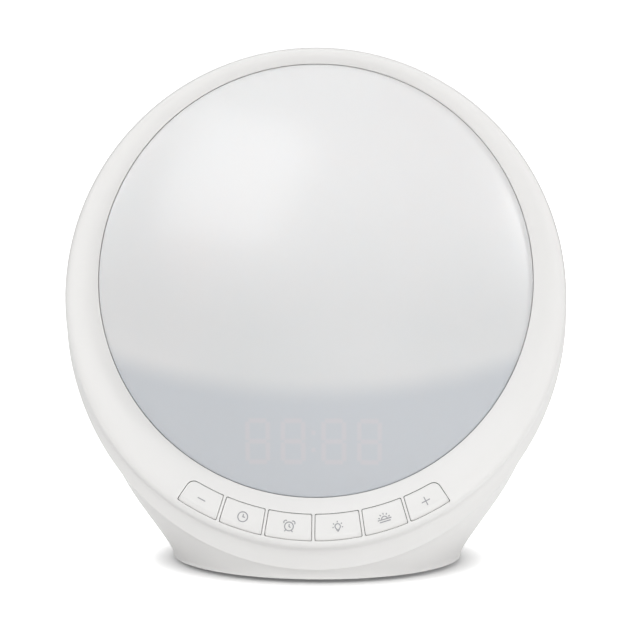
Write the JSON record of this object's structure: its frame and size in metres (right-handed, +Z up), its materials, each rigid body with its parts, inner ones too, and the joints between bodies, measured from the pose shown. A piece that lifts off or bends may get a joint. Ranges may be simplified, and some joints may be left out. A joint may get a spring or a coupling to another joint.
{
  "type": "sunrise alarm clock",
  "caption": "Tilted round alarm clock with a domed wake-up light, a display behind the dome, a curved row of push keys in its chin and a flared foot.",
  "frame": {"origin": "middle of the bounding footprint, on the table the rubber feet stand on", "axes": "+Z up, -Y towards the viewer (the dome and keys face -Y, tilted back 14 degrees), +X to the viewer's right"},
  "size_m": [0.1804, 0.0914, 0.1896],
  "materials": {
    "shell_white": "fine satin moulded plastic",
    "key_white": "fine satin moulded plastic",
    "dome_milk": "milky translucent diffuser, soft gloss",
    "base_grey": "matt moulded plastic",
    "foot_rubber": "soft matt pad",
    "reflector_white": "matt bright white",
    "fascia_grey": "matt",
    "module_grey": "matt",
    "digit_pink": "unlit light bars",
    "board_white": "white coated aluminium board",
    "led_cream": "lamp packages with a yellow fill",
    "board_green": "green lacquered circuit board",
    "chip_black": "black moulded",
    "socket_cream": "cream moulded",
    "steel_bright": "bright zinc or nickel plate",
    "steel_dark": "black painted pressed steel",
    "magnet_grey": "sintered magnet",
    "cone_paper": "dark pressed paper",
    "jack_black": "black moulded"
  },
  "bodies": {
    "case": {"base_plate": "base_grey", "base_screws": "steel_bright", "board_capacitors": "chip_black", "board_screws": "steel_bright", "board_sockets": "socket_cream", "case_screws": "steel_bright", "cell_contacts": "steel_bright", "clock_crystal": "steel_bright", "coin_cell": "steel_bright", "control_chip": "chip_black", "dc_jack": "jack_black", "dc_jack_pin": "steel_bright", "dish_screws": "steel_bright", "display_digits": "digit_pink", "display_module": "module_grey", "display_shroud": "fascia_grey", "front_bezel": "shell_white", "key_board": "board_green", "lamp_board": "board_white", "lamp_leds": "led_cream", "light_dome": "dome_milk", "main_board": "board_green", "rear_housing": "shell_white", "reflector_dish": "reflector_white", "rubber_feet": "foot_rubber", "sound_chip": "chip_black", "speaker_basket": "steel_dark", "speaker_cone": "cone_paper", "speaker_grille": "shell_white", "speaker_magnet": "magnet_grey", "switch_bodies": "chip_black"},
    "minus_button": {"minus_key": "key_white", "minus_plunger": "chip_black"},
    "clock_button": {"clock_key": "key_white", "clock_plunger": "chip_black"},
    "alarm_button": {"alarm_key": "key_white", "alarm_plunger": "chip_black"},
    "light_button": {"light_key": "key_white", "light_plunger": "chip_black"},
    "sunrise_button": {"sunrise_key": "key_white", "sunrise_plunger": "chip_black"},
    "plus_button": {"plus_key": "key_white", "plus_plunger": "chip_black"},
    "cap": {"cell_cap": "base_grey"}
  },
  "joints": [
    {"name": "minus_press", "type": "slide", "parent": "case", "child": "minus_button", "axis": [0, 0.9703, -0.2419], "range_m": [0, 0.0008], "stiffness_N_per_m": 600, "springref_m": -0.0005},
    {"name": "clock_press", "type": "slide", "parent": "case", "child": "clock_button", "axis": [0, 0.9703, -0.2419], "range_m": [0, 0.0008], "stiffness_N_per_m": 600, "springref_m": -0.0005},
    {"name": "alarm_press", "type": "slide", "parent": "case", "child": "alarm_button", "axis": [0, 0.9703, -0.2419], "range_m": [0, 0.0008], "stiffness_N_per_m": 600, "springref_m": -0.0005},
    {"name": "light_press", "type": "slide", "parent": "case", "child": "light_button", "axis": [0, 0.9703, -0.2419], "range_m": [0, 0.0008], "stiffness_N_per_m": 600, "springref_m": -0.0005},
    {"name": "sunrise_press", "type": "slide", "parent": "case", "child": "sunrise_button", "axis": [0, 0.9703, -0.2419], "range_m": [0, 0.0008], "stiffness_N_per_m": 600, "springref_m": -0.0005},
    {"name": "plus_press", "type": "slide", "parent": "case", "child": "plus_button", "axis": [0, 0.9703, -0.2419], "range_m": [0, 0.0008], "stiffness_N_per_m": 600, "springref_m": -0.0005},
    {"name": "cap_turn", "type": "hinge", "parent": "case", "child": "cap", "pos_m": [0, 0.008, 0.003], "axis": [0, 0, 1], "range_deg": [0, 30]}
  ]
}
